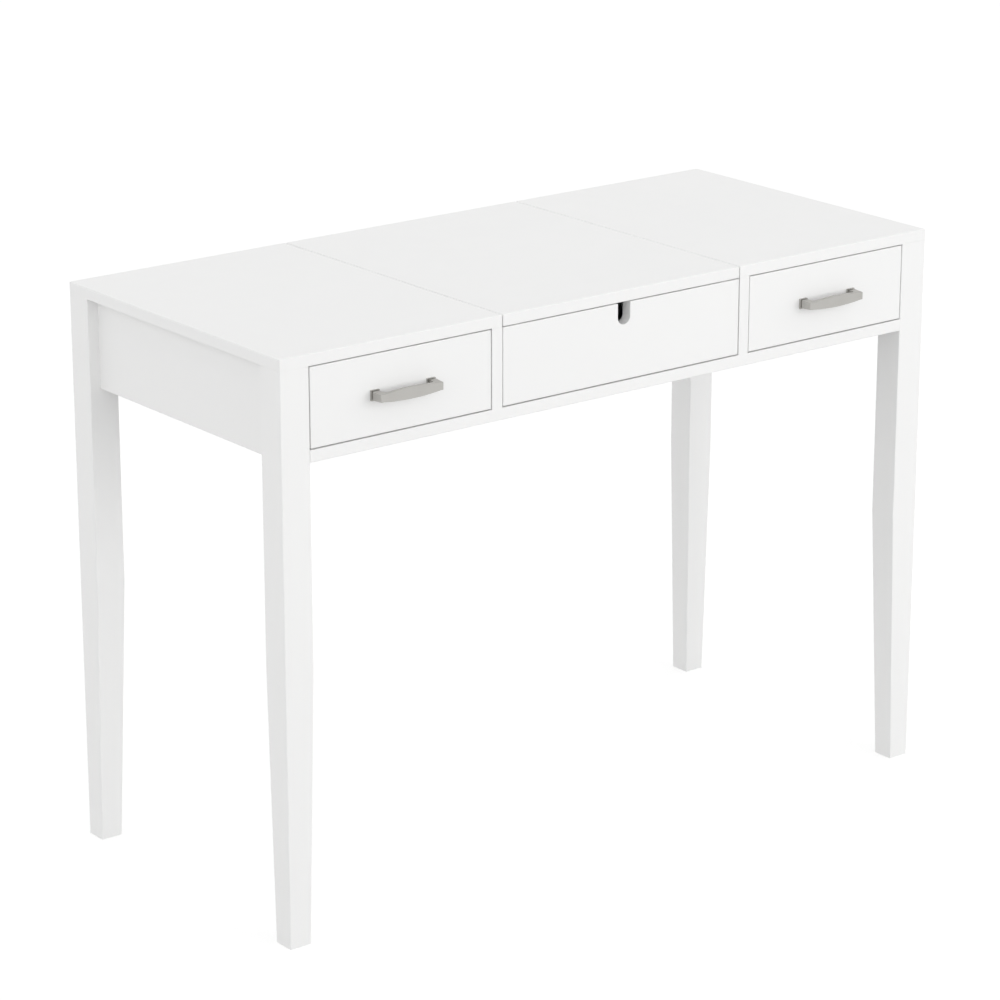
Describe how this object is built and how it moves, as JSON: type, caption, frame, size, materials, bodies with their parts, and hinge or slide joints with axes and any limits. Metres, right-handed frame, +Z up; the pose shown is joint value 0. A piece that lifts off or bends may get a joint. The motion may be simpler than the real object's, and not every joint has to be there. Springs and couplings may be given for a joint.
{
  "type": "writing desk",
  "caption": "White flip-top writing desk on tapered legs, with a drawer each side of a lidded centre compartment.",
  "frame": {"origin": "on the floor, under the middle of the desk's overall width and depth, pulls included", "axes": "+X to the right seen from the front, +Y from the drawer fronts to the back, +Z up"},
  "size_m": [1.06, 0.4912, 0.762],
  "materials": {
    "white_paint": "satin white paint on fibreboard",
    "drawer_board": "white foil on fibreboard",
    "satin_nickel": "satin nickel",
    "slide_steel": "zinc-plated rolled steel",
    "plated_steel": "nickel-plated steel",
    "zinc": "die-cast zinc",
    "beech": "fluted beech dowel",
    "clear_rubber": "clear soft bumper"
  },
  "bodies": {
    "frame": {"front_left_leg": "white_paint", "front_right_leg": "white_paint", "rear_left_leg": "white_paint", "rear_right_leg": "white_paint", "left_side_apron": "white_paint", "right_side_apron": "white_paint", "back_panel": "white_paint", "front_rail": "white_paint", "left_partition": "white_paint", "right_partition": "white_paint", "left_slide_packing": "white_paint", "right_slide_packing": "white_paint", "compartment_floor": "white_paint", "centre_front": "white_paint", "left_top_panel": "white_paint", "right_top_panel": "white_paint", "cam_locks": "zinc", "cam_bolts": "plated_steel", "dowels": "beech", "slide_screws": "plated_steel", "lid_bumpers": "clear_rubber", "left_hinge_frame_leaf": "plated_steel", "right_hinge_frame_leaf": "plated_steel", "hinge_pins": "plated_steel", "frame_hinge_screws": "plated_steel", "left_drawer_outer_case_slide": "slide_steel", "left_drawer_inner_case_slide": "slide_steel", "right_drawer_outer_case_slide": "slide_steel", "right_drawer_inner_case_slide": "slide_steel"},
    "left_drawer": {"left_drawer_front": "white_paint", "left_drawer_box_front": "drawer_board", "left_drawer_outer_side": "drawer_board", "left_drawer_inner_side": "drawer_board", "left_drawer_back": "drawer_board", "left_drawer_bottom": "drawer_board", "left_drawer_pull": "satin_nickel", "left_drawer_pull_screws": "plated_steel", "left_drawer_box_screws": "plated_steel", "left_drawer_outer_slide": "slide_steel", "left_drawer_inner_slide": "slide_steel", "left_drawer_slide_screws": "plated_steel"},
    "right_drawer": {"right_drawer_front": "white_paint", "right_drawer_box_front": "drawer_board", "right_drawer_outer_side": "drawer_board", "right_drawer_inner_side": "drawer_board", "right_drawer_back": "drawer_board", "right_drawer_bottom": "drawer_board", "right_drawer_pull": "satin_nickel", "right_drawer_pull_screws": "plated_steel", "right_drawer_box_screws": "plated_steel", "right_drawer_outer_slide": "slide_steel", "right_drawer_inner_slide": "slide_steel", "right_drawer_slide_screws": "plated_steel"},
    "left_drawer_cages": {"left_drawer_ball_cages": "slide_steel"},
    "right_drawer_cages": {"right_drawer_ball_cages": "slide_steel"},
    "lid": {"flip_lid": "white_paint", "left_hinge_lid_leaf": "plated_steel", "right_hinge_lid_leaf": "plated_steel", "lid_hinge_screws": "plated_steel"}
  },
  "joints": [
    {"name": "left_drawer_slide", "type": "slide", "parent": "frame", "child": "left_drawer", "axis": [0, -1, 0], "range_m": [0, 0.28]},
    {"name": "right_drawer_slide", "type": "slide", "parent": "frame", "child": "right_drawer", "axis": [0, -1, 0], "range_m": [0, 0.28]},
    {"name": "left_cage_slide", "type": "slide", "parent": "frame", "child": "left_drawer_cages", "axis": [0, -1, 0], "range_m": [0, 0.14]},
    {"name": "right_cage_slide", "type": "slide", "parent": "frame", "child": "right_drawer_cages", "axis": [0, -1, 0], "range_m": [0, 0.14]},
    {"name": "lid_hinge", "type": "hinge", "parent": "frame", "child": "lid", "pos_m": [0, 0.23315, 0.74685], "axis": [-1, 0, 0], "range_deg": [0, 100]}
  ],
  "couplings": [
    {"joint": "left_cage_slide", "follows": "left_drawer_slide", "ratio": 0.5},
    {"joint": "right_cage_slide", "follows": "right_drawer_slide", "ratio": 0.5}
  ]
}
